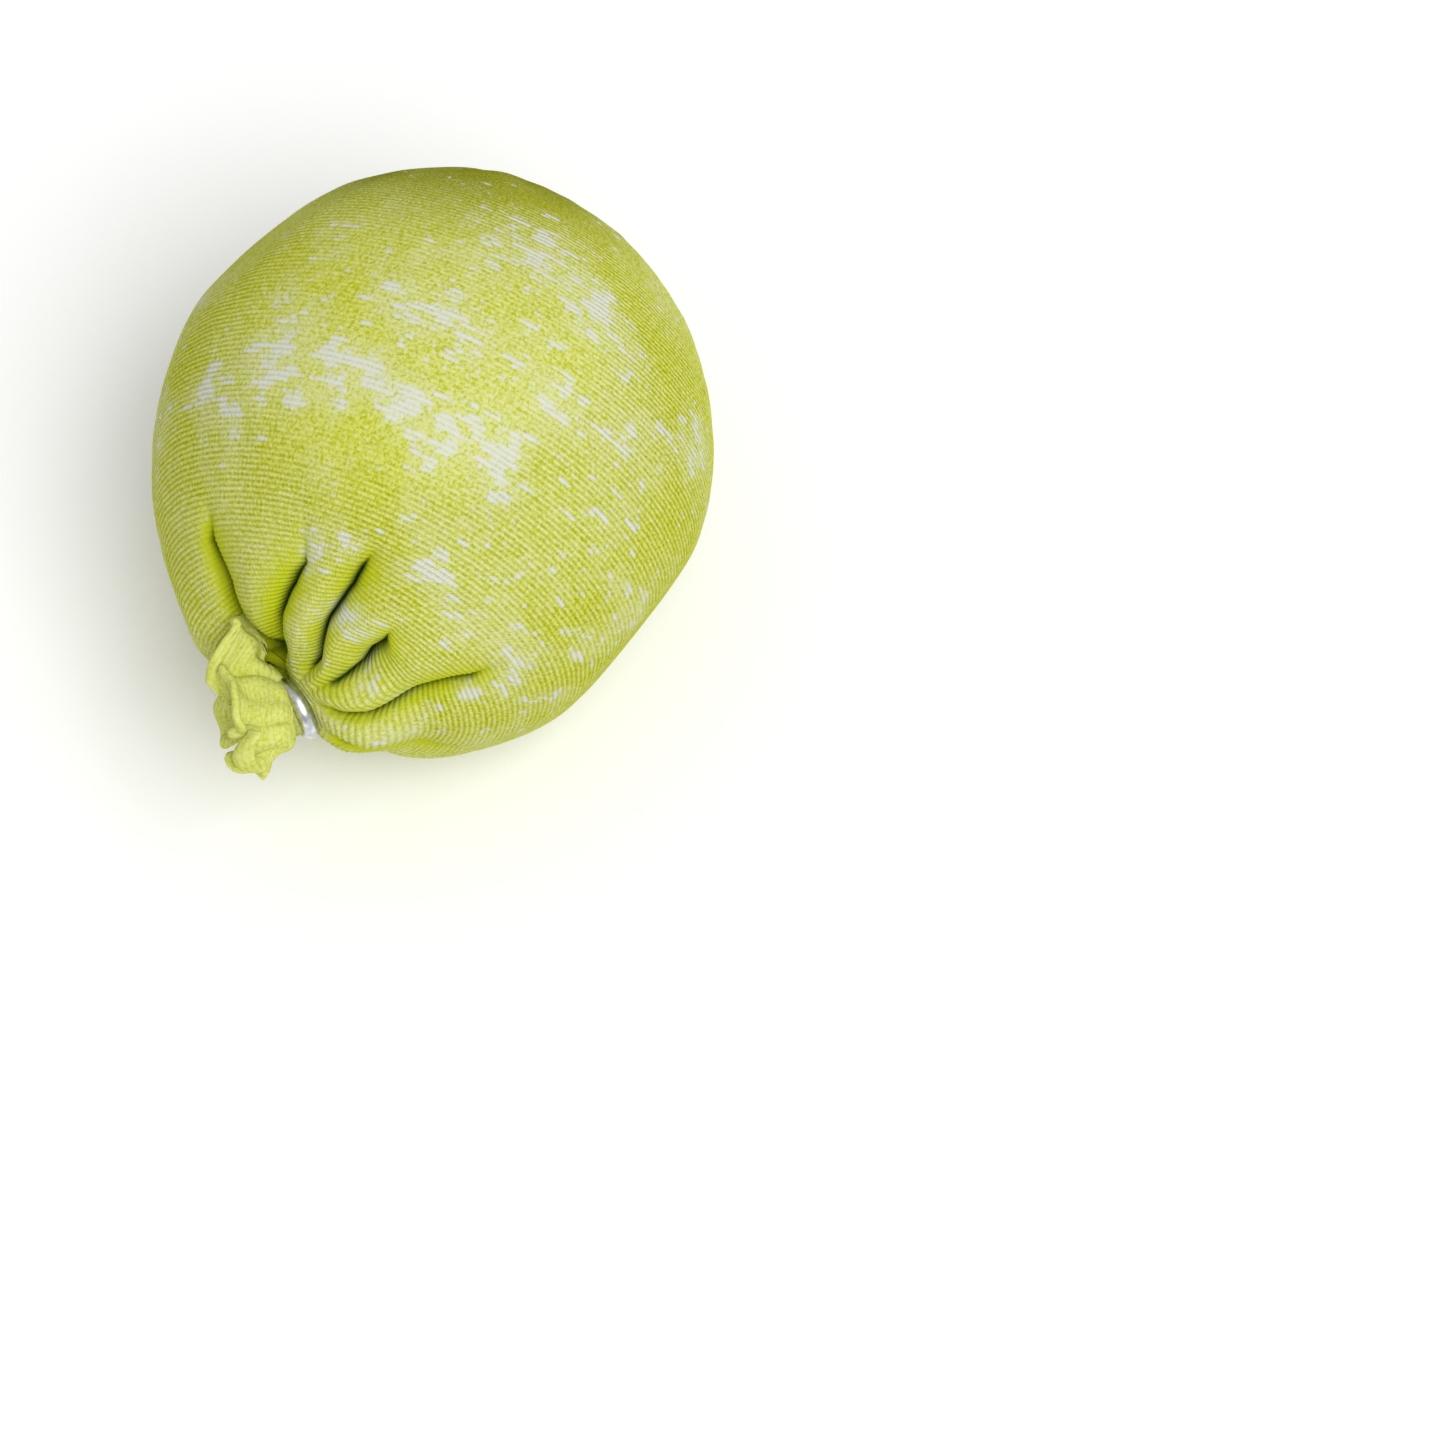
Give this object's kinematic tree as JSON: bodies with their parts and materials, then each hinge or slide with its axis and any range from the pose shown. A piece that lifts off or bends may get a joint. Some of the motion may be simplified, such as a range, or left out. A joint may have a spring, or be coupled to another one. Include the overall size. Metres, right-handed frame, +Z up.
{
  "type": "herbal compress ball",
  "caption": "Knitted ball packed with herbs for massage and steaming, gathered and tucked in at one end, with a neck, a metal clip and a frilled cut tail at the other.",
  "frame": {"origin": "middle of the flattened patch that the ball rests on", "axes": "+Z up out of the surface it lies on, Y along the ball's long axis, -Y towards the clipped neck, -X the side that the neck and its tail lean to"},
  "size_m": [0.0876, 0.1127, 0.0848],
  "materials": {
    "green_knit": "lime green weft knit, matt, rubbed pale in patches",
    "cotton_thread": "twisted undyed cotton",
    "muslin": "thin plain-weave undyed cotton, stained by the herbs",
    "clip_metal": "bright drawn aluminium wire, slightly dented",
    "ground_herbs": "coarsely ground dried herbs packed firm",
    "turmeric": "dried orange root, fibrous",
    "lemongrass": "dried stalk in cut rounds",
    "lime_peel": "dried bumpy citrus peel",
    "ginger": "dried pale yellow root slices",
    "camphor": "translucent white lumps",
    "lime_leaf": "dried torn leaf"
  },
  "bodies": {
    "root": {"knit_cover": "green_knit", "end_tuft": "green_knit", "tuft_thread": "cotton_thread", "liner_pouch": "muslin", "liner_mouth": "muslin", "liner_string": "cotton_thread", "herb_pack": "ground_herbs", "turmeric_slices": "turmeric", "lemongrass_rounds": "lemongrass", "lime_peel_strips": "lime_peel", "ginger_slices": "ginger", "camphor_lumps": "camphor", "lime_leaf_pieces": "lime_leaf"},
    "closure": {"neck_gather": "green_knit", "clip_ring": "clip_metal"},
    "tail": {"tail_frill": "green_knit"}
  },
  "joints": [
    {"name": "neck_flex", "type": "hinge", "parent": "root", "child": "closure", "pos_m": [0, -0.0426, 0.041], "axis": [0, 0, -1], "range_deg": [-55, 5], "stiffness_Nm_per_rad": 0.01},
    {"name": "tail_flop", "type": "hinge", "parent": "closure", "child": "tail", "pos_m": [-0.00403, -0.04881, 0.041], "axis": [0, 0, -1], "range_deg": [-50, 5], "stiffness_Nm_per_rad": 0.005}
  ]
}
